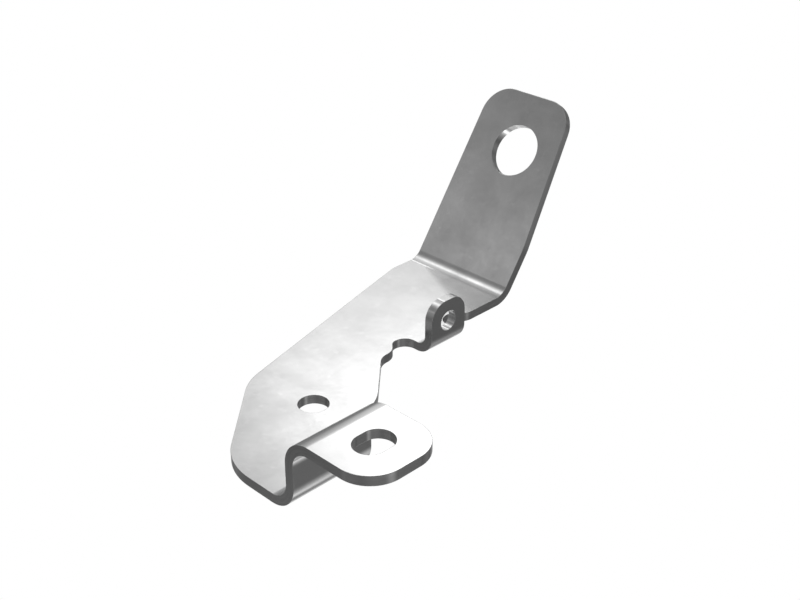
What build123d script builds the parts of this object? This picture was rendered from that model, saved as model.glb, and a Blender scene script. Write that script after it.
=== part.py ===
from build123d import *
import math
import os

# Stamped metal bracket: one piece of 3 mm sheet, blanked, pierced and folded.
# A long base plate carries a raised flange at its front (a Z-shaped fold),
# a sloping leg at its far end and a small upright tab on its right-hand edge.
#
# Frame: origin at the centre of the base plate hole on the plate's underside,
# +Z up, +Y along the base plate towards the leg, +X towards the flange.
# All dimensions in millimetres.

# ---------------------------------------------------------------- sheet
sheet_t = 3.0                 # sheet thickness
bend_r = 6.0                  # inner radius of the three main folds
tab_bend_r = 3.3              # inner radius of the tab fold
edge_break = 0.2              # rounding left on the cut edges by deburring

# ---------------------------------------------------------------- base plate
base_hole_d = 9.2             # hole at the origin
front_y = -36.0               # front edge, shared with the flange strip
front_corner = (5.1, -36.0)   # sharp corner where the front edge turns back
mid_corner = (-23.2, -5.6)    # sharp corner between the two slanting left edges
neck_corner = (-45.0, 76.7)   # sharp corner where the left edge turns straight
front_corner_r = 21.0
mid_corner_r = 21.0
neck_corner_r = 11.6
left_x = -45.0                # straight left edge of neck and leg
right_x = -4.8                # straight right edge of neck and leg

# right-hand side of the base plate, between the neck and the flange strip
notch_x = -8.8                # innermost line of the reliefs beside the tab
notch_tab_r = 4.1             # round of a relief next to the tab
notch_in_r = 2.9              # round of a relief at its inner end
notch_out_r = 5.8             # round where a relief runs out to the right edge
notch_in_dy = 5.55            # tab side edge to the inner end of a relief
notch_out_dy = 9.3            # tab side edge to the outer end of a relief
slant_y = 32.1                # where the slanting right edge starts
slant_deg = 47.0              # its angle to the straight right edge's normal
slant_start_r = 6.0
shoulder_x = 14.0             # shoulder edge in front of the slanting edge
shoulder_r = 21.0
strip_root_r = 8.0            # inside corner between shoulder and flange strip

# ---------------------------------------------------------------- Z fold and flange
strip_back_y = -8.4           # back edge of the flange strip
wall_x = 33.1                 # outer face of the upright wall
flange_top_z = 24.5
flange_end_x = 61.2
flange_corner_r = 10.2
slot_x, slot_y = 48.6, -22.3
slot_w = 9.3                  # slot width across X
slot_l = 12.0                 # slot length along Y

# ---------------------------------------------------------------- leg
leg_deg = 55.0                # slope above the base plate
leg_fold_y = 88.6             # where the upper faces of plate and leg would meet
leg_len = 67.1                # upper face, from that line to the top edge
leg_taper_s = 16.9            # slope distance at which the right edge tapers
leg_top_x = -9.9              # right-hand end of the top edge before rounding
leg_corner_r = 10.0
leg_taper_r = 30.0
leg_hole_d = 18.0
leg_hole_x, leg_hole_s = -24.9, 47.05

# ---------------------------------------------------------------- tab
tab_x = 2.9                   # outer face
tab_y0, tab_y1 = 46.4, 61.4   # side edges
tab_top_z = 17.65
tab_corner_r = 6.0
tab_hole_d = 6.5
tab_hole_y, tab_hole_z = 53.85, 10.25


def rounded_outline(points):
    """Closed plane outline from (x, y, radius) corners, radius 0 for sharp."""
    n = len(points)
    corners = []
    for i in range(n):
        x, y, r = points[i]
        if r == 0:
            corners.append(((x, y), None, (x, y)))
            continue
        ax, ay = points[i - 1][0] - x, points[i - 1][1] - y
        bx, by = points[(i + 1) % n][0] - x, points[(i + 1) % n][1] - y
        la, lb = math.hypot(ax, ay), math.hypot(bx, by)
        ax, ay, bx, by = ax / la, ay / la, bx / lb, by / lb
        half = math.acos(max(-1.0, min(1.0, ax * bx + ay * by))) / 2
        d = r / math.tan(half)
        mx, my = ax + bx, ay + by
        lm = math.hypot(mx, my)
        k = (r / math.sin(half) - r) / lm
        corners.append(((x + ax * d, y + ay * d),
                        (x + mx * k, y + my * k),
                        (x + bx * d, y + by * d)))
    edges = []
    for i in range(n):
        a, m, b = corners[i]
        if m is not None:
            edges.append(ThreePointArc(a, m, b))
        nxt = corners[(i + 1) % n][0]
        if math.hypot(nxt[0] - b[0], nxt[1] - b[1]) > 1e-6:
            edges.append(Line(b, nxt))
    return make_face(Wire(edges))


t = sheet_t
leg_a = math.radians(leg_deg)
half_tan = math.tan(leg_a / 2)
neck_end_y = leg_fold_y - bend_r * half_tan        # plate side of the leg fold
z_fold_x = wall_x - t - bend_r                     # plate side of the Z fold
tab_fold_x = tab_x - t - tab_bend_r                # plate side of the tab fold
slant_run = shoulder_x - right_x
shoulder_y = slant_y - slant_run * math.tan(math.radians(slant_deg))

# ---------------------------------------------------------------- base plate
base_outline = rounded_outline([
    (z_fold_x, front_y, 0),
    (front_corner[0], front_corner[1], front_corner_r),
    (mid_corner[0], mid_corner[1], mid_corner_r),
    (neck_corner[0], neck_corner[1], neck_corner_r),
    (left_x, neck_end_y, 0),
    (right_x, neck_end_y, 0),
    (right_x, tab_y1 + notch_out_dy, notch_out_r),
    (notch_x, tab_y1 + notch_in_dy, notch_in_r),
    (notch_x, tab_y1, notch_tab_r),
    (tab_fold_x, tab_y1, 0),
    (tab_fold_x, tab_y0, 0),
    (notch_x, tab_y0, notch_tab_r),
    (notch_x, tab_y0 - notch_in_dy, notch_in_r),
    (right_x, tab_y0 - notch_out_dy, notch_out_r),
    (right_x, slant_y, slant_start_r),
    (shoulder_x, shoulder_y, shoulder_r),
    (shoulder_x, strip_back_y, strip_root_r),
    (z_fold_x, strip_back_y, 0),
])
base = extrude(base_outline, amount=t, dir=(0, 0, 1))
base -= Cylinder(base_hole_d / 2, t, align=(Align.CENTER, Align.CENTER, Align.MIN))

# ---------------------------------------------------------------- Z fold and flange
# section of the strip in the XZ plane, drawn round its outline
ro = bend_r + t
s45 = math.sin(math.radians(45))
lo_c = (wall_x - ro, ro)                           # lower fold centre
hi_c = (wall_x + bend_r, flange_top_z - ro)        # upper fold centre
z_pts = Wire([
    Line((z_fold_x, 0), (lo_c[0], 0)) if abs(z_fold_x - lo_c[0]) > 1e-6 else
    Line((z_fold_x, t), (z_fold_x, 0)),
    ThreePointArc((lo_c[0], 0), (lo_c[0] + ro * s45, lo_c[1] - ro * s45), (wall_x, lo_c[1])),
    Line((wall_x, lo_c[1]), (wall_x, hi_c[1])),
    ThreePointArc((wall_x, hi_c[1]),
                  (hi_c[0] - bend_r * s45, hi_c[1] + bend_r * s45),
                  (hi_c[0], flange_top_z - t)),
    Line((hi_c[0], flange_top_z - t), (flange_end_x, flange_top_z - t)),
    Line((flange_end_x, flange_top_z - t), (flange_end_x, flange_top_z)),
    Line((flange_end_x, flange_top_z), (hi_c[0], flange_top_z)),
    ThreePointArc((hi_c[0], flange_top_z),
                  (hi_c[0] - ro * s45, hi_c[1] + ro * s45),
                  (wall_x - t, hi_c[1])),
    Line((wall_x - t, hi_c[1]), (wall_x - t, lo_c[1])),
    ThreePointArc((wall_x - t, lo_c[1]),
                  (lo_c[0] + bend_r * s45, lo_c[1] - bend_r * s45),
                  (lo_c[0], t)),
])
strip_plane = Plane(origin=(0, strip_back_y, 0), x_dir=(1, 0, 0), z_dir=(0, -1, 0))
strip = extrude(strip_plane * make_face(z_pts), amount=strip_back_y - front_y, dir=(0, -1, 0))
strip = fillet(strip.edges().filter_by(Axis.Z).group_by(Axis.X)[-1], flange_corner_r)
strip -= Pos(slot_x, slot_y, flange_top_z - t) * Rot(0, 0, 90) * extrude(
    SlotOverall(slot_l, slot_w), amount=t, dir=(0, 0, 1))

# ---------------------------------------------------------------- leg
# fold: ring sector in the YZ plane, extruded across the neck
cy, cz = neck_end_y, t + bend_r                    # leg fold centre
def on_fold(r, a):
    return (cy + r * math.sin(a), cz - r * math.cos(a))
fold_face = make_face(Wire([
    ThreePointArc(on_fold(bend_r, 0), on_fold(bend_r, leg_a / 2), on_fold(bend_r, leg_a)),
    Line(on_fold(bend_r, leg_a), on_fold(ro, leg_a)),
    ThreePointArc(on_fold(ro, leg_a), on_fold(ro, leg_a / 2), on_fold(ro, 0)),
    Line(on_fold(ro, 0), on_fold(bend_r, 0)),
]))
leg_fold = extrude(Plane.YZ.offset(left_x) * fold_face, amount=right_x - left_x, dir=(1, 0, 0))
# leg plate: drawn on the sloping upper face, thickness below it
leg_plane = Plane(origin=(0, leg_fold_y, t), x_dir=(1, 0, 0),
                  z_dir=(0, -math.sin(leg_a), math.cos(leg_a)))
leg_outline = rounded_outline([
    (left_x, bend_r * half_tan, 0),
    (left_x, leg_len, leg_corner_r),
    (leg_top_x, leg_len, leg_corner_r),
    (right_x, leg_taper_s, leg_taper_r),
    (right_x, bend_r * half_tan, 0),
])
leg_outline -= Pos(leg_hole_x, leg_hole_s) * Circle(leg_hole_d / 2)
leg = extrude(leg_plane * leg_outline, amount=t, dir=-leg_plane.z_dir)

# ---------------------------------------------------------------- tab
tro = tab_bend_r + t
tab_c = (tab_fold_x, tro)
tab_fold_face = make_face(Wire([
    ThreePointArc((tab_c[0], 0), (tab_c[0] + tro * s45, tab_c[1] - tro * s45), (tab_x, tab_c[1])),
    Line((tab_x, tab_c[1]), (tab_x - t, tab_c[1])),
    ThreePointArc((tab_x - t, tab_c[1]),
                  (tab_c[0] + tab_bend_r * s45, tab_c[1] - tab_bend_r * s45), (tab_c[0], t)),
    Line((tab_c[0], t), (tab_c[0], 0)),
]))
tab_fold_plane = Plane(origin=(0, tab_y1, 0), x_dir=(1, 0, 0), z_dir=(0, -1, 0))
tab_fold = extrude(tab_fold_plane * tab_fold_face, amount=tab_y1 - tab_y0, dir=(0, -1, 0))
tab_outline = rounded_outline([
    (tab_y0, tro, 0),
    (tab_y0, tab_top_z, tab_corner_r),
    (tab_y1, tab_top_z, tab_corner_r),
    (tab_y1, tro, 0),
])
tab_outline -= Pos(tab_hole_y, tab_hole_z) * Circle(tab_hole_d / 2)
tab = extrude(Plane.YZ.offset(tab_x - t) * tab_outline, amount=t, dir=(1, 0, 0))

# ---------------------------------------------------------------- one piece
bracket = (base + strip + leg_fold + leg + tab_fold + tab).clean()

# deburred cut edges: every edge between a sheet face and a cut face
cut_edges = []
for e in bracket.edges():
    p = e @ 0.5
    faces = [f for f in bracket.faces() if any(g.is_same(e) for g in f.edges())]
    if len(faces) != 2:
        continue
    n1, n2 = faces[0].normal_at(p), faces[1].normal_at(p)
    if abs(n1.dot(n2)) < 0.2:
        cut_edges.append(e)
bracket = fillet(cut_edges, edge_break)

bracket = bracket.solids()[0] if len(bracket.solids()) == 1 else bracket
bracket.label = "bracket"

os.makedirs("parts", exist_ok=True)
export_step(bracket, "parts/bracket.step")
print("solids", len(bracket.solids()), "volume mm3", round(bracket.volume, 1),
      "bbox", bracket.bounding_box().min, bracket.bounding_box().max)
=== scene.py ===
import math

import bmesh
import bpy
import numpy as np
from mathutils import Matrix, Vector
from mathutils.geometry import delaunay_2d_cdt


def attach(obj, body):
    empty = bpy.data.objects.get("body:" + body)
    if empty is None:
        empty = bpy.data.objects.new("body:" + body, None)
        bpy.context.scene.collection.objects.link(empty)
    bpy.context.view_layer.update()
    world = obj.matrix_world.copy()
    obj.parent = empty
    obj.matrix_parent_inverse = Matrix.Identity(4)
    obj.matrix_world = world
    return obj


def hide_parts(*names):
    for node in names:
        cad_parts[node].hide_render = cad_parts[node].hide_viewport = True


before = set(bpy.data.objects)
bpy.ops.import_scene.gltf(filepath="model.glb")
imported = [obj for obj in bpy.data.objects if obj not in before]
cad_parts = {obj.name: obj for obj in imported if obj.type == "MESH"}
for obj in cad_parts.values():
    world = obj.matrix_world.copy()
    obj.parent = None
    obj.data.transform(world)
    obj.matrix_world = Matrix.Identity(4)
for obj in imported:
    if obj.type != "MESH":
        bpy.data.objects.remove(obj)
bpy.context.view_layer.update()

# ------------------------------------------------------------------ sizes, mm
T = 3.0
HALF = T / 2
BEND_R = 6.0
TAB_BEND_R = 3.3
EDGE, FAR_EDGE = 0.08, 0.26  # slight break between a sheet face and a cut face: front and right runs, back and left runs

BASE_HOLE_R = 4.6
FRONT_Y = -36.0
LEFT_X, RIGHT_X = -45.0, -4.8
STRIP_BACK_Y = -8.4
WALL_X = 33.1
FLANGE_TOP_Z, FLANGE_END_X = 24.5, 61.2
SLOT_X, SLOT_Y, SLOT_W, SLOT_L = 48.6, -22.3, 9.3, 12.0
LEG_A = math.radians(55.0)
LEG_FOLD_Y, LEG_LEN = 88.6, 67.1
LEG_TAPER_S, LEG_TOP_X = 16.9, -9.9
LEG_HOLE_R, LEG_HOLE_X, LEG_HOLE_S = 9.0, -24.9, 47.05
TAB_X, TAB_Y0, TAB_Y1, TAB_TOP_Z = 2.9, 46.4, 61.4, 17.65
TAB_HOLE_R, TAB_HOLE_Y, TAB_HOLE_Z = 3.25, 53.85, 10.25
NOTCH_X, NOTCH_IN_DY, NOTCH_OUT_DY = -8.8, 5.55, 9.3
SLANT_Y, SHOULDER_X = 32.1, 14.0
SHOULDER_Y = SLANT_Y - (SHOULDER_X - RIGHT_X) * math.tan(math.radians(47.0))

# ------------------------------------------------------- the developed blank
# u runs along x and v along y on the base plate, and both keep running along
# the sheet through each fold, measured on the middle surface; h is the height
# above the middle surface, +HALF on the face that is upward on the base plate.
RM = BEND_R + HALF
RT = TAB_BEND_R + HALF
Q = math.pi / 2
U0 = WALL_X - T - BEND_R  # lower Z fold starts
U1 = U0 + RM * Q  # wall
WALL_H = FLANGE_TOP_Z - T - 2 * BEND_R - T
U2 = U1 + WALL_H  # upper Z fold
U3 = U2 + RM * Q  # flange
U4 = U3 + FLANGE_END_X - (WALL_X + BEND_R)
V0 = LEG_FOLD_Y - BEND_R * math.tan(LEG_A / 2)  # leg fold starts
V1 = V0 + RM * LEG_A  # leg plate
S0 = BEND_R * math.tan(LEG_A / 2)
TU0 = TAB_X - T - TAB_BEND_R  # tab fold starts
TU1 = TU0 + RT * Q
TU2 = TU1 + TAB_TOP_Z - (TAB_BEND_R + T)


def leg_v(s):
    return V1 + s - S0


def fold_map(u, v, h):
    """Places of blank points (arrays u, v, h in mm) on the folded sheet: position, directions of u and v, and upper face normal."""
    u, v, h = (np.asarray(a, float) for a in np.broadcast_arrays(u, v, h))
    n = u.size
    p = np.stack([u, v, h + HALF], 1)
    eu = np.tile([1.0, 0.0, 0.0], (n, 1))
    ev = np.tile([0.0, 1.0, 0.0], (n, 1))
    en = np.tile([0.0, 0.0, 1.0], (n, 1))
    zc = T + BEND_R
    # leg
    a = np.clip((v - V0) / RM, 0, LEG_A)
    leg = v > V0
    fold = leg & (v <= V1)
    r = RM - h
    s, c = np.sin(a), np.cos(a)
    past = np.maximum(v - V1, 0)
    y = V0 + r * s + past * c
    z = zc - r * c + past * s
    p[leg, 1], p[leg, 2] = y[leg], z[leg]
    ev[leg] = np.stack([0 * s, c, s], 1)[leg]
    en[leg] = np.stack([0 * s, -s, c], 1)[leg]
    # tab
    tab = (u > TU0) & (v > 44.0) & (v < 64.0)
    a = np.clip((u - TU0) / RT, 0, Q)
    r = RT - h
    s, c = np.sin(a), np.cos(a)
    x = TU0 + r * s
    z = T + TAB_BEND_R - r * c + np.maximum(u - TU1, 0)
    p[tab, 0], p[tab, 2] = x[tab], z[tab]
    eu[tab] = np.stack([c, 0 * s, s], 1)[tab]
    en[tab] = np.stack([-s, 0 * s, c], 1)[tab]
    # flange strip
    low = (u > U0) & (v < STRIP_BACK_Y + 1)
    a = np.clip((u - U0) / RM, 0, Q)
    r = RM - h
    s, c = np.sin(a), np.cos(a)
    x = U0 + r * s
    z = zc - r * c + np.clip(u - U1, 0, WALL_H)
    p[low, 0], p[low, 2] = x[low], z[low]
    eu[low] = np.stack([c, 0 * s, s], 1)[low]
    en[low] = np.stack([-s, 0 * s, c], 1)[low]
    high = low & (u > U2)
    a = np.clip((u - U2) / RM, 0, Q)
    r = RM + h
    s, c = np.sin(a), np.cos(a)
    x = WALL_X + BEND_R - r * c + np.maximum(u - U3, 0)
    z = FLANGE_TOP_Z - T - BEND_R + r * s
    p[high, 0], p[high, 2] = x[high], z[high]
    eu[high] = np.stack([s, 0 * s, c], 1)[high]
    en[high] = np.stack([-c, 0 * s, s], 1)[high]
    # +1 on a stretched outer face, -1 on a compressed inner face
    side = np.sign(h)
    bent = np.where(fold | (tab & (u < TU1)) | (low & (u < U1)), -side, 0.0)
    bent = np.where(high & (u < U3), side, bent)
    return p, eu, ev, en, bent


# rows across each fold, where the mesh has a line of vertices
LEG_ROWS = np.linspace(V0, V1, 19)
LOW_ROWS = np.linspace(U0, U1, 31)
HIGH_ROWS = np.linspace(U2, U3, 31)
TAB_ROWS = np.linspace(TU0, TU1, 25)


def row_crossings(a, b):
    """Shares of the straight run a-b at which it crosses a fold row."""
    (ax, ay), (bx, by) = a, b
    found = []
    if abs(bx - ax) > 1e-9:
        if max(ay, by) < STRIP_BACK_Y + 1:
            found += [(r - ax) / (bx - ax) for r in (*LOW_ROWS, *HIGH_ROWS)]
        if 44 < min(ay, by) and max(ay, by) < 64:
            found += [(r - ax) / (bx - ax) for r in TAB_ROWS]
    if abs(by - ay) > 1e-9 and abs(bx - ax) < 1e-6:
        found += [(r - ay) / (by - ay) for r in LEG_ROWS]
    return [t for t in found if -1e-9 <= t <= 1 + 1e-9]


def loop_samples(points, step=1.0):
    """Samples (u, v, outward nu, nv) round a closed anticlockwise outline of (u, v, radius) corners."""
    n = len(points)
    corners = []
    for i in range(n):
        x, y, r = points[i]
        ax, ay = points[i - 1][0] - x, points[i - 1][1] - y
        bx, by = points[(i + 1) % n][0] - x, points[(i + 1) % n][1] - y
        la, lb = math.hypot(ax, ay), math.hypot(bx, by)
        ax, ay, bx, by = ax / la, ay / la, bx / lb, by / lb
        half = math.acos(max(-1.0, min(1.0, ax * bx + ay * by))) / 2
        d = r / math.tan(half)
        mx, my = ax + bx, ay + by
        lm = math.hypot(mx, my)
        k = r / math.sin(half) / lm
        centre = (x + mx * k, y + my * k)
        turn = 1.0 if (-ax) * by - (-ay) * bx > 0 else -1.0  # left turn is convex
        corners.append(((x + ax * d, y + ay * d), centre, (x + bx * d, y + by * d), r, turn))
    out = []
    for i in range(n):
        start, c, end, r, turn = corners[i]
        a0 = math.atan2(start[1] - c[1], start[0] - c[0])
        a1 = math.atan2(end[1] - c[1], end[0] - c[0])
        sweep = (a1 - a0 + math.pi) % (2 * math.pi) - math.pi
        m = max(3, math.ceil(abs(sweep) / math.radians(4.5)), math.ceil(abs(sweep) * r / 0.8))
        for j in range(m + 1):
            a = a0 + sweep * j / m
            ca, sa = math.cos(a), math.sin(a)
            out.append((c[0] + r * ca, c[1] + r * sa, turn * ca, turn * sa))
        nxt = corners[(i + 1) % n][0]
        length = math.hypot(nxt[0] - end[0], nxt[1] - end[1])
        if length > 1e-6:
            dx, dy = (nxt[0] - end[0]) / length, (nxt[1] - end[1]) / length
            m = max(1, math.ceil(length / step))
            fixed = [0.0, 1.0] + row_crossings(end, nxt)
            shares = sorted(fixed)
            for t in np.linspace(0, 1, m + 1)[1:-1]:
                if min(abs(t - f) for f in fixed) * length > 0.45 * step:
                    shares.append(float(t))
            shares = sorted(shares)
            kept = [shares[0]]
            for t in shares[1:]:
                if (t - kept[-1]) * length > 0.02:
                    kept.append(t)
            for t in kept:
                if t * length > 0.02 and (1 - t) * length > 0.02:
                    out.append((end[0] + dx * t * length, end[1] + dy * t * length, dy, -dx))
    return np.array(out)


def circle_samples(cx, cy, r, n):
    """A round hole, clockwise, so that the sheet is on the left; its outward normal points into the hole."""
    a = -np.arange(n) * 2 * math.pi / n
    return np.stack([cx + r * np.cos(a), cy + r * np.sin(a), -np.cos(a), -np.sin(a)], 1)


def slot_samples(cx, cy, w, length, n):
    """A slot along v, clockwise."""
    r, k = w / 2, (length - w) / 2
    out = []
    for sign, a0 in ((1, 0.0), (-1, -math.pi)):
        for j in range(n + 1):
            a = a0 + math.pi * j / n
            out.append((cx + r * math.cos(a), cy + sign * k + r * math.sin(a), -math.cos(a), -math.sin(a)))
    return np.array(out[::-1])


outline = loop_samples([
    (5.1, FRONT_Y, 21.0),
    (U4, FRONT_Y, 10.2),
    (U4, STRIP_BACK_Y, 10.2),
    (SHOULDER_X, STRIP_BACK_Y, 8.0),
    (SHOULDER_X, SHOULDER_Y, 21.0),
    (RIGHT_X, SLANT_Y, 6.0),
    (RIGHT_X, TAB_Y0 - NOTCH_OUT_DY, 5.8),
    (NOTCH_X, TAB_Y0 - NOTCH_IN_DY, 2.9),
    (NOTCH_X, TAB_Y0, 4.1),
    (TU2, TAB_Y0, 6.0),
    (TU2, TAB_Y1, 6.0),
    (NOTCH_X, TAB_Y1, 4.1),
    (NOTCH_X, TAB_Y1 + NOTCH_IN_DY, 2.9),
    (RIGHT_X, TAB_Y1 + NOTCH_OUT_DY, 5.8),
    (RIGHT_X, leg_v(LEG_TAPER_S), 30.0),
    (LEG_TOP_X, leg_v(LEG_LEN), 10.0),
    (LEFT_X, leg_v(LEG_LEN), 10.0),
    (LEFT_X, 76.7, 11.6),
    (-23.2, -5.6, 21.0),
])
loops = [
    outline,
    circle_samples(0, 0, BASE_HOLE_R, 72),
    slot_samples(U3 + SLOT_X - WALL_X - BEND_R, SLOT_Y, SLOT_W, SLOT_L, 36),
    circle_samples(LEG_HOLE_X, leg_v(LEG_HOLE_S), LEG_HOLE_R, 108),
    circle_samples(TU1 + TAB_HOLE_Z - TAB_BEND_R - T, TAB_HOLE_Y, TAB_HOLE_R, 60),
]


def inside(pts, poly):
    """Even-odd test of many points against one closed polygon."""
    x, y = pts[:, 0][:, None], pts[:, 1][:, None]
    x0, y0 = poly[:, 0][None], poly[:, 1][None]
    x1, y1 = np.roll(poly[:, 0], -1)[None], np.roll(poly[:, 1], -1)[None]
    cross = (y0 > y) != (y1 > y)
    with np.errstate(divide="ignore", invalid="ignore"):
        xi = x0 + (y - y0) * (x1 - x0) / (y1 - y0)
    return (cross & (x < xi)).sum(1) % 2 == 1


def edge_distance(pts, loops_):
    """Distance of each point to the nearest outline or hole edge."""
    best = np.full(len(pts), 1e9)
    for lp in loops_:
        a = lp[:, :2]
        b = np.roll(a, -1, 0)
        ab = b - a
        for k in range(0, len(pts), 2000):
            q = pts[k : k + 2000, None, :] - a[None]
            t = np.clip((q * ab[None]).sum(2) / (ab**2).sum(1)[None], 0, 1)
            d = np.linalg.norm(q - t[..., None] * ab[None], axis=2).min(1)
            best[k : k + 2000] = np.minimum(best[k : k + 2000], d)
    return best


# rings of vertices at these distances in from every cut edge, so that wear
# that follows the edges is drawn at its own scale
INSETS = [EDGE, 0.5, 1.0, 1.9]


def edge_break(lp):
    """Size of the break at each vertex of a loop, from the way the cut faces there."""
    t = np.clip(((lp[:, 3] - lp[:, 2]) * math.sqrt(0.5) + 0.4) / 0.8, 0, 1)
    return EDGE + (FAR_EDGE - EDGE) * t * t * (3 - 2 * t)


def blank_mesh():
    """Triangles of one sheet face in the blank: points (u, v), triangles, and the index of each loop's first ring."""
    pts, edges, rings = [], [], []
    for lp in loops:
        for k, d in enumerate(INSETS):
            first = len(pts)
            ring = lp[:, :2] - lp[:, 2:] * (edge_break(lp)[:, None] if k == 0 else d)
            pts += ring.tolist()
            m = len(lp)
            edges += [(first + i, first + (i + 1) % m) for i in range(m)]
            if k == 0:
                rings.append(first)
    outer = outline[:, :2] - outline[:, 2:] * INSETS[-1]
    holes = [lp[:, :2] - lp[:, 2:] * INSETS[-1] for lp in loops[1:]]
    grid = []
    step = 1.8
    lo, hi = outline[:, :2].min(0), outline[:, :2].max(0)
    row = 0
    y = lo[1]
    while y < hi[1]:
        x = lo[0] + (0.5 * step if row % 2 else 0)
        while x < hi[0]:
            grid.append((x, y))
            x += step
        y += step * 0.866
        row += 1
    grid = np.array(grid)

    def in_fold(q, pad):
        u, v = q[:, 0], q[:, 1]
        leg = (v > V0 - pad) & (v < V1 + pad) & (u < 0)
        strip = (v < STRIP_BACK_Y + 1) & (((u > U0 - pad) & (u < U1 + pad)) | ((u > U2 - pad) & (u < U3 + pad)))
        tab = (v > 44) & (v < 64) & (u > TU0 - pad) & (u < TU1 + pad)
        return leg | strip | tab

    grid = grid[inside(grid, outline[:, :2]) & ~in_fold(grid, 0.7)]
    for q in (grid,):
        keep = edge_distance(q, loops) > INSETS[-1] + 0.8
        pts += q[keep].tolist()
    # fold rows: a line of points across the sheet, joined by constraints
    for rows, axis, lo_c, hi_c, lo_b, hi_b in (
        (LEG_ROWS, 1, LEFT_X, RIGHT_X, FAR_EDGE, EDGE),
        (LOW_ROWS, 0, FRONT_Y, STRIP_BACK_Y, EDGE, FAR_EDGE),
        (HIGH_ROWS, 0, FRONT_Y, STRIP_BACK_Y, EDGE, FAR_EDGE),
        (TAB_ROWS, 0, TAB_Y0, TAB_Y1, EDGE, FAR_EDGE),
    ):
        ends = [lo_c + d for d in [lo_b] + INSETS[1:]] + [hi_c - d for d in INSETS[:0:-1] + [hi_b]]
        mid = np.linspace(ends[3], ends[4], max(2, round((ends[4] - ends[3]) / 1.5)) + 1)[1:-1]
        across = sorted(ends + mid.tolist())
        for r in rows:
            first = len(pts)
            for c in across:
                pts.append((r, c) if axis == 0 else (c, r))
            edges += [(first + i, first + i + 1) for i in range(len(across) - 1)]
    # tab rows at the very start meet the relief rounds, which lie outside them
    co, _, tris, origin, _, _ = delaunay_2d_cdt([Vector(p) for p in pts], edges, [], 0, 1e-4)
    co = np.array([tuple(c) for c in co])
    tris = np.array([t for t in tris if len(t) == 3])
    where = np.full(len(pts), -1)
    for i, o in enumerate(origin):
        for j in o:
            where[j] = i
    # the sheet is the part of the triangulation that the first rings close off
    walls = set()
    for lp, first in zip(loops, rings):
        ids = where[first : first + len(lp)]
        walls |= {frozenset((int(a), int(b))) for a, b in zip(ids, np.roll(ids, -1))}
    a, b, c = co[tris[:, 0]], co[tris[:, 1]], co[tris[:, 2]]
    area = (b[:, 0] - a[:, 0]) * (c[:, 1] - a[:, 1]) - (b[:, 1] - a[:, 1]) * (c[:, 0] - a[:, 0])
    tris[area < 0] = tris[area < 0][:, ::-1]
    area = np.abs(area)
    by_edge = {}
    for i, tri in enumerate(tris.tolist()):
        for k in range(3):
            by_edge.setdefault(frozenset((tri[k], tri[k - 1])), []).append(i)
    group = np.full(len(tris), -1)
    kept = np.zeros(len(tris), bool)
    hulls = [lp[:, :2] - lp[:, 2:] * edge_break(lp)[:, None] for lp in loops]
    for seed in np.argsort(-area):
        if group[seed] >= 0:
            continue
        group[seed] = seed
        todo, members = [int(seed)], [int(seed)]
        while todo:
            tri = tris[todo.pop()]
            for k in range(3):
                e = frozenset((int(tri[k]), int(tri[k - 1])))
                if e in walls:
                    continue
                for j in by_edge[e]:
                    if group[j] < 0:
                        group[j] = seed
                        todo.append(j)
                        members.append(j)
        centre = co[tris[seed]].mean(0)[None]
        kept[members] = (
            area[seed] > 0.01
            and inside(centre, hulls[0])[0]
            and not any(inside(centre, h)[0] for h in hulls[1:])
        )
    tris = tris[kept].tolist()
    # a sliver on a straight run is turned into its neighbour across the long side
    for _ in range(12):
        by_edge = {}
        for i, tri in enumerate(tris):
            for k in range(3):
                by_edge.setdefault(frozenset((tri[k], tri[k - 1])), []).append(i)
        busy, turned = set(), 0
        for i, tri in enumerate(tris):
            if i in busy:
                continue
            q = co[tri]
            d = [np.linalg.norm(q[k] - q[k - 1]) for k in range(3)]
            k = int(np.argmax(d))
            twice = abs((q[1][0] - q[0][0]) * (q[2][1] - q[0][1]) - (q[1][1] - q[0][1]) * (q[2][0] - q[0][0]))
            if twice / d[k] > 2e-3:
                continue
            p1, p0 = tri[k], tri[k - 1]  # the long side runs p0 to p1
            other = [j for j in by_edge[frozenset((p0, p1))] if j != i]
            if not other or other[0] in busy:
                continue
            j = other[0]
            mine = next(x for x in tri if x not in (p0, p1))
            theirs = next(x for x in tris[j] if x not in (p0, p1))
            tris[i] = [mine, p0, theirs]
            tris[j] = [mine, theirs, p1]
            busy |= {i, j}
            turned += 1
        if not turned:
            break
    tris = np.array(tris)
    a, b, c = co[tris[:, 0]], co[tris[:, 1]], co[tris[:, 2]]
    area = (b[:, 0] - a[:, 0]) * (c[:, 1] - a[:, 1]) - (b[:, 1] - a[:, 1]) * (c[:, 0] - a[:, 0])
    tris[area < 0] = tris[area < 0][:, ::-1]
    return co, tris, where, rings


# profile of a cut face from the upper sheet face round to the lower one, for a
# break of size 1: (distance in, height in breaks and height in mm, outward
# share and upward share of the normal)
def cut_profile():
    rows = []
    steps = 5
    for j in range(1, steps + 1):  # upper round
        a = Q * (1 - j / steps)
        rows.append((1 - math.cos(a), math.sin(a) - 1, HALF, math.cos(a), math.sin(a)))
    for h in (0.95, 0.55, 0.3, -0.1, -0.5, -0.9):
        rows.append((0.0, 0.0, h, 1.0, 0.0))
    for j in range(steps):  # lower round
        a = Q * j / steps
        rows.append((1 - math.cos(a), 1 - math.sin(a), -HALF, math.cos(a), -math.sin(a)))
    return rows


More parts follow.
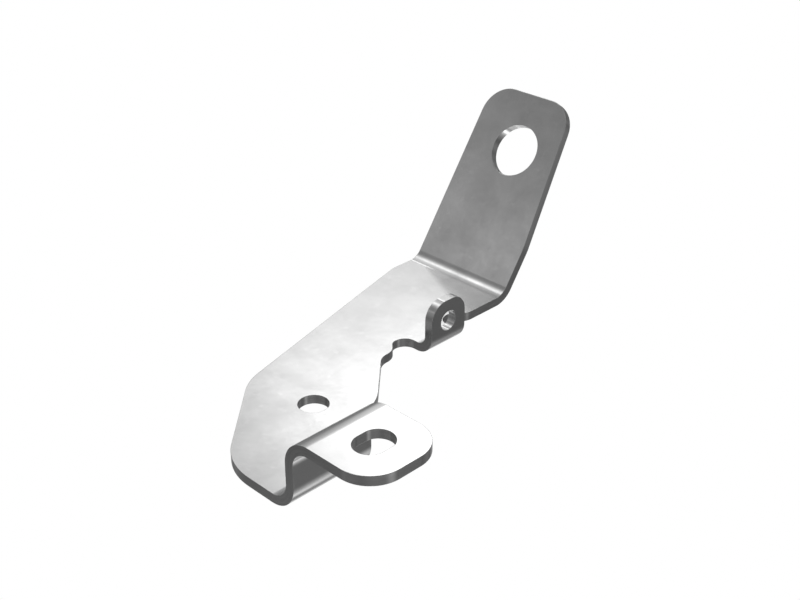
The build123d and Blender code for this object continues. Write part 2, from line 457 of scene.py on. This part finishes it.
def build_sheet():
    co, tris, where, rings = blank_mesh()
    used = np.unique(tris)
    number = np.full(len(co), -1)
    number[used] = np.arange(len(used))
    flat = co[used]
    tri = number[tris]
    n = len(used)
    verts, normals, blank, cut, edge, bent = [], [], [], [], [], []
    near = np.minimum(edge_distance(flat, loops), 6.0)
    for h, sign in ((HALF, 1), (-HALF, -1)):
        p, eu, ev, en, b = fold_map(flat[:, 0], flat[:, 1], np.full(n, h))
        verts.append(p)
        normals.append(en * sign)
        blank.append(np.column_stack([flat, np.full(n, h)]))
        cut.append(np.zeros(n))
        edge.append(near)
        bent.append(b)
    faces = [tuple(t) for t in tri] + [tuple(t[::-1] + n) for t in tri]
    total = 2 * n
    profile = cut_profile()
    for lp, first in zip(loops, rings):
        m = len(lp)
        top = number[where[first : first + m]]
        if (top < 0).any():
            raise RuntimeError("an outline vertex is missing from the sheet face")
        ring_ids = [top]
        size = edge_break(lp)
        for inward, rise, level, out, up in profile:
            d, h = size * inward, size * rise + level
            uv = lp[:, :2] - lp[:, 2:] * d[:, None]
            p, eu, ev, en, b = fold_map(uv[:, 0], uv[:, 1], h)
            verts.append(p)
            normals.append((eu * lp[:, 2:3] + ev * lp[:, 3:4]) * out + en * up)
            blank.append(np.column_stack([uv, h]))
            cut.append(np.full(m, out))
            edge.append(d)
            bent.append(b)
            ring_ids.append(np.arange(total, total + m))
            total += m
        ring_ids.append(top + n)
        for a, b in zip(ring_ids[:-1], ring_ids[1:]):
            for i in range(m):
                j = (i + 1) % m
                faces.append((a[i], b[i], b[j], a[j]))
    verts = np.concatenate(verts) / 1000
    normals = np.concatenate(normals)
    normals /= np.linalg.norm(normals, axis=1)[:, None]
    mesh = bpy.data.meshes.new("bracket_sheet")
    mesh.from_pydata(verts.tolist(), [], [tuple(int(i) for i in f) for f in faces])
    mesh.validate(verbose=False)
    for name, data in (("cut", cut), ("edge", edge), ("bent", bent)):
        at = mesh.attributes.new(name, "FLOAT", "POINT")
        at.data.foreach_set("value", np.concatenate(data).astype(np.float32))
    at = mesh.attributes.new("blank", "FLOAT_VECTOR", "POINT")
    at.data.foreach_set("vector", np.concatenate(blank).astype(np.float32).ravel())
    for p in mesh.polygons:
        p.use_smooth = True
    mesh.normals_split_custom_set_from_vertices(normals.tolist())
    return bpy.data.objects.new("bracket_sheet", mesh)


sheet = build_sheet()
bpy.context.scene.collection.objects.link(sheet)
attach(sheet, "root")
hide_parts("bracket")

# ------------------------------------------------------------------- material
class Nodes:
    """Short forms for building a node tree."""

    def __init__(self, tree):
        self.tree = tree

    def put(self, value, socket):
        if isinstance(value, bpy.types.NodeSocket):
            self.tree.links.new(value, socket)
        elif value is not None:
            socket.default_value = value

    def math(self, op, a, b=None, c=None, clamp=False):
        n = self.tree.nodes.new("ShaderNodeMath")
        n.operation, n.use_clamp = op, clamp
        for i, x in enumerate((a, b, c)):
            self.put(x, n.inputs[i])
        return n.outputs[0]

    def vec(self, op, a, b=None):
        n = self.tree.nodes.new("ShaderNodeVectorMath")
        n.operation = op
        self.put(a, n.inputs[0])
        self.put(b, n.inputs[1])
        return n.outputs["Value" if op in ("DOT_PRODUCT", "LENGTH") else "Vector"]

    def scaled(self, v, xyz):
        return self.vec("MULTIPLY", v, xyz)

    def noise(self, v, scale, detail=2.0, rough=0.5, lac=2.0, distortion=0.0):
        n = self.tree.nodes.new("ShaderNodeTexNoise")
        self.put(v, n.inputs["Vector"])
        for name, x in (("Scale", scale), ("Detail", detail), ("Roughness", rough), ("Lacunarity", lac), ("Distortion", distortion)):
            self.put(x, n.inputs[name])
        return n.outputs["Fac"]

    def ramp(self, x, lo, hi, out_lo=0.0, out_hi=1.0, smooth=False):
        n = self.tree.nodes.new("ShaderNodeMapRange")
        n.interpolation_type = "SMOOTHSTEP" if smooth else "LINEAR"
        for name, y in (("Value", x), ("From Min", lo), ("From Max", hi), ("To Min", out_lo), ("To Max", out_hi)):
            self.put(y, n.inputs[name])
        return n.outputs["Result"]

    def attr(self, name, vector=False):
        n = self.tree.nodes.new("ShaderNodeAttribute")
        n.attribute_name = name
        return n.outputs["Vector" if vector else "Fac"]

    def mix(self, fac, a, b):
        n = self.tree.nodes.new("ShaderNodeMix")
        n.data_type = "FLOAT"
        self.put(fac, n.inputs[0])
        self.put(a, n.inputs[2])
        self.put(b, n.inputs[3])
        return n.outputs[0]


mat = bpy.data.materials.new("sheet_steel")
mat.use_nodes = True
N = Nodes(mat.node_tree)
bsdf = mat.node_tree.nodes["Principled BSDF"]
blank = N.attr("blank", vector=True)  # place on the developed sheet, mm
cut, edge, bent = N.attr("cut"), N.attr("edge"), N.attr("bent")
split = mat.node_tree.nodes.new("ShaderNodeSeparateXYZ")
N.put(blank, split.inputs[0])
across, along, height = split.outputs["X"], split.outputs["Y"], split.outputs["Z"]
on_cut = N.ramp(cut, 0.25, 0.75, smooth=True)

# sheet faces: clouds left by the mill and the plating, small bright spots and a
# fine grain; the two faces have their own pattern
skin = N.scaled(blank, (1, 1, 9))
clouds = N.math("SUBTRACT", N.noise(skin, 0.085, 4.0, 0.54, 2.1, 0.25), 0.5)
mist = N.math("SUBTRACT", N.noise(N.vec("ADD", skin, (31.0, 7.0, 3.0)), 0.42, 3.0, 0.6), 0.5)
spots = N.ramp(N.noise(N.vec("ADD", skin, (5.0, 63.0, 1.0)), 0.36, 2.0, 0.55), 0.6, 0.76, smooth=True)
grain = N.math("SUBTRACT", N.noise(skin, 2.6, 2.0, 0.7), 0.5)
calm = N.math("MULTIPLY", N.ramp(along, 55.0, 100.0, 0.62, 0.86, smooth=True), N.ramp(across, 22.0, 36.0, 1.0, 0.35, smooth=True))
tone = N.math("MULTIPLY", calm, N.math("ADD", N.math("MULTIPLY", clouds, 0.37), N.math("MULTIPLY", mist, 0.07)))
tone = N.math("ADD", tone, N.math("MULTIPLY", spots, 0.045))
tone = N.math("ADD", tone, N.math("MULTIPLY", grain, 0.03))

# handling rubs the last half millimetre next to a cut edge a little brighter
rubbed = N.math("MULTIPLY", N.ramp(edge, 0.75, 0.1, smooth=True), N.ramp(N.noise(skin, 0.5, 3.0, 0.6), 0.35, 0.7))
tone = N.math("ADD", tone, N.math("MULTIPLY", rubbed, 0.02))
# the stretched side of a fold is a little duller, the pressed side a little smoother
tone = N.math("ADD", tone, N.math("MULTIPLY", bent, -0.008))

# cut faces: drag lines that follow the outline, in a smoother upper band from
# the punch and a duller torn band under it
drag_at = N.scaled(blank, (0.22, 0.22, 2.3))
drag = N.math("SUBTRACT", N.noise(drag_at, 1.0, 3.0, 0.6, 2.2), 0.5)
border = N.math("ADD", height, N.math("MULTIPLY", N.math("SUBTRACT", N.noise(N.scaled(blank, (0.5, 0.5, 0.1)), 1.0, 2.0, 0.6), 0.5), 1.0))
torn = N.ramp(border, 0.45, 0.15, smooth=True)
cut_tone = N.math("ADD", N.math("MULTIPLY", drag, 0.16), N.math("MULTIPLY", clouds, 0.18))
cut_tone = N.math("ADD", cut_tone, N.math("MULTIPLY", torn, -0.012))

shade = N.math("ADD", N.mix(on_cut, tone, cut_tone), 0.62)
col = mat.node_tree.nodes.new("ShaderNodeCombineColor")
for i in range(3):
    N.put(shade, col.inputs[i])
N.put(col.outputs[0], bsdf.inputs["Base Color"])
bsdf.inputs["Metallic"].default_value = 1.0

face_rough = N.math("MULTIPLY", calm, N.math("ADD", N.math("MULTIPLY", clouds, -0.12), N.math("MULTIPLY", mist, -0.035)))
face_rough = N.math("ADD", face_rough, N.math("MULTIPLY", N.math("ABSOLUTE", bent), 0.01))
cut_rough = N.math("ADD", N.math("MULTIPLY", drag, 0.12), N.math("MULTIPLY", torn, 0.02))
N.put(N.math("ADD", N.mix(on_cut, face_rough, cut_rough), 0.165), bsdf.inputs["Roughness"])

# relief, in mm: a rolled skin with waves under a micron, and drag lines on the cuts
rolled = N.math("ADD", N.math("MULTIPLY", N.noise(N.vec("ADD", skin, (11.0, 3.0, 9.0)), 0.45, 2.0, 0.5), 0.001), N.math("MULTIPLY", grain, 0.00022))
lines = N.math("MULTIPLY", drag, 0.0035)
bump = mat.node_tree.nodes.new("ShaderNodeBump")
bump.inputs["Strength"].default_value = 1.0
bump.inputs["Distance"].default_value = 0.001
N.put(N.mix(on_cut, rolled, lines), bump.inputs["Height"])
N.put(bump.outputs[0], bsdf.inputs["Normal"])
sheet.data.materials.append(mat)

# ---------------------------------------------------------------------- stage
scene = bpy.context.scene
scene.view_settings.view_transform = "Standard"
scene.view_settings.look = "None"

# soft studio light: a grey room, darker below, with soft lamps and dark cards
# (strength, azimuth, elevation, half widths in degrees, turn in degrees)
ROOM = (0.057, 0.078, -0.066, 0.057)
LAMPS = [
    (2.179, 134.25, 36.73, 5.25, 1.98, -38.3),
    (1.245, 176.89, 53.37, 17.63, 2.38, 24.3),
    (0.580, -124.86, 31.39, 4.89, 1.95, 21.8),
    (2.225, 48.71, -62.05, 3.33, 6.88, -84.4),
    (0.475, 7.53, -21.26, 6.75, 16.98, 35.1),
    (0.613, 141.86, -28.43, 25.47, 11.57, 70.8),
    (0.933, 138.96, 15.56, 4.30, 13.51, 2.4),
    (-0.800, -82.95, 65.92, 20.00, 27.99, -5.2),
    (-0.800, 141.70, -20.28, 9.90, 6.10, 82.8),
    (0.231, -142.06, -44.60, 22.95, 4.84, -8.7),
    (0.155, -30.83, -37.07, 44.97, 20.53, 29.3),
    (0.773, 111.67, -66.86, 19.49, 2.71, 44.2),
    (4.641, 108.29, -17.77, 11.30, 2.12, -24.1),
    (0.939, 160.34, 19.16, 4.07, 24.98, 19.4),
    (0.195, 41.30, -15.23, 32.63, 9.55, 6.9),
    (2.224, 132.12, 32.96, 2.49, 1.50, -48.3),
    (2.899, 169.42, 66.86, 5.50, 2.84, -80.7),
    (-0.786, 5.09, -21.44, 12.49, 4.63, -10.4),
    (0.456, 57.15, -47.92, 1.69, 7.78, 46.8),
    (0.459, 56.74, -55.61, 16.57, 6.74, -3.5),
    (1.400, -77.34, -5.19, 23.88, 7.18, 24.2),
    (4.281, 134.33, -76.32, 1.79, 7.37, -3.1),
    (0.419, -139.99, 17.91, 18.17, 10.49, -79.5),
    (1.423, 112.84, 19.35, 7.06, 12.02, -81.4),
    (0.720, -172.29, 55.52, 15.81, 4.88, -1.1),
    (-0.800, 129.26, -2.67, 9.69, 3.60, 14.4),
    (0.140, 75.87, -34.56, 13.65, 3.98, 10.0),
    (0.353, 117.02, -4.93, 4.98, 6.97, 32.1),
    (0.381, 113.07, -44.77, 9.81, 3.81, -53.6),
    (-0.800, 137.29, 52.28, 4.07, 2.49, -31.3),
    (0.047, -124.41, -37.55, 3.64, 5.61, 0.3),
    (0.550, -45.00, 46.00, 22.00, 13.00, 0.0),
    (0.900, 45.00, 45.00, 18.00, 12.00, 0.0),
    (0.800, 0.00, 86.00, 13.00, 13.00, 0.0),
    (0.400, -70.00, -80.00, 12.00, 12.00, 0.0),
    (0.800, -88.00, 62.00, 18.00, 15.00, 0.0),
    (0.500, -180.00, 22.00, 14.00, 11.00, 0.0),
    (0.350, -90.00, 24.00, 14.00, 11.00, 0.0),
    (0.350, 90.00, 30.00, 14.00, 12.00, 0.0),
    (0.300, 0.00, 22.00, 14.00, 10.00, 0.0),
]
world = bpy.data.worlds.new("studio")
scene.world = world
world.use_nodes = True
W = Nodes(world.node_tree)
bg = world.node_tree.nodes["Background"]
toward = world.node_tree.nodes.new("ShaderNodeTexCoord").outputs["Generated"]
low, high, level, soft = ROOM
height = W.vec("DOT_PRODUCT", toward, (0, 0, 1))
t = W.math("TANH", W.math("MULTIPLY", W.math("SUBTRACT", height, level), 1 / soft))
total = W.math("ADD", (low + high) / 2, W.math("MULTIPLY", t, (high - low) / 2))
for strength, azim, elev, w1, w2, turn in LAMPS:
    a, e, r = map(math.radians, (azim, elev, turn))
    d = np.array([math.cos(a) * math.cos(e), math.sin(a) * math.cos(e), math.sin(e)])
    t1 = np.array([-math.sin(a), math.cos(a), 0.0])
    t2 = np.cross(d, t1)
    e1 = (t1 * math.cos(r) + t2 * math.sin(r)) / math.sin(math.radians(w1))
    e2 = (-t1 * math.sin(r) + t2 * math.cos(r)) / math.sin(math.radians(w2))
    x, y = W.vec("DOT_PRODUCT", toward, tuple(e1)), W.vec("DOT_PRODUCT", toward, tuple(e2))
    q = W.math("ADD", W.math("MULTIPLY", x, x), W.math("MULTIPLY", y, y))
    g = W.math("EXPONENT", W.math("MULTIPLY", q, -0.5))
    front = W.math("MAXIMUM", W.vec("DOT_PRODUCT", toward, tuple(d)), 0.0)
    total = W.math("ADD", total, W.math("MULTIPLY", W.math("MULTIPLY", g, front), strength))
total = W.math("MAXIMUM", total, 0.05)
path = world.node_tree.nodes.new("ShaderNodeLightPath")
W.put(W.mix(path.outputs["Is Camera Ray"], total, 1.0), bg.inputs["Strength"])
bg.inputs["Color"].default_value = (1, 1, 1, 1)

# pale floor, lit evenly from above and clear from below; the part's own
# reflections come from the room, so the floor takes no part in them
floor_mat = bpy.data.materials.new("pale_floor")
floor_mat.use_nodes = True
F = Nodes(floor_mat.node_tree)
floor_mat.node_tree.nodes.remove(floor_mat.node_tree.nodes["Principled BSDF"])
lit = floor_mat.node_tree.nodes.new("ShaderNodeEmission")
lit.inputs["Strength"].default_value = 1.0
clear = floor_mat.node_tree.nodes.new("ShaderNodeBsdfTransparent")
both = floor_mat.node_tree.nodes.new("ShaderNodeMixShader")
F.put(floor_mat.node_tree.nodes.new("ShaderNodeNewGeometry").outputs["Backfacing"], both.inputs[0])
F.put(lit.outputs[0], both.inputs[1])
F.put(clear.outputs[0], both.inputs[2])
F.put(both.outputs[0], floor_mat.node_tree.nodes["Material Output"].inputs["Surface"])
bm = bmesh.new()
bmesh.ops.create_circle(bm, cap_ends=True, radius=2.5, segments=96)
floor_mesh = bpy.data.meshes.new("floor")
bm.to_mesh(floor_mesh)
bm.free()
floor = bpy.data.objects.new("floor", floor_mesh)
floor.location = (0, 0.04, -0.0002)
floor_mesh.materials.append(floor_mat)
scene.collection.objects.link(floor)
floor.visible_glossy = floor.visible_diffuse = floor.visible_transmission = False
floor.visible_shadow = floor.visible_volume_scatter = False

az, el = math.radians(45.0), math.radians(28.5404)
right = Vector((math.cos(az), math.sin(az), 0))
look = Vector((-math.sin(az) * math.cos(el), math.cos(az) * math.cos(el), -math.sin(el)))
up = right.cross(look)
cam_data = bpy.data.cameras.new("camera")
cam_data.lens = 58.3234
cam_data.sensor_width = 36.0
cam_data.sensor_fit = "HORIZONTAL"
cam_data.clip_start, cam_data.clip_end = 0.01, 20
cam = bpy.data.objects.new("camera", cam_data)
cam.matrix_world = Matrix.Translation((0.24046949, -0.20509826, 0.20845797)) @ Matrix(
    (right, up, -look)
).transposed().to_4x4()
scene.collection.objects.link(cam)
scene.camera = cam
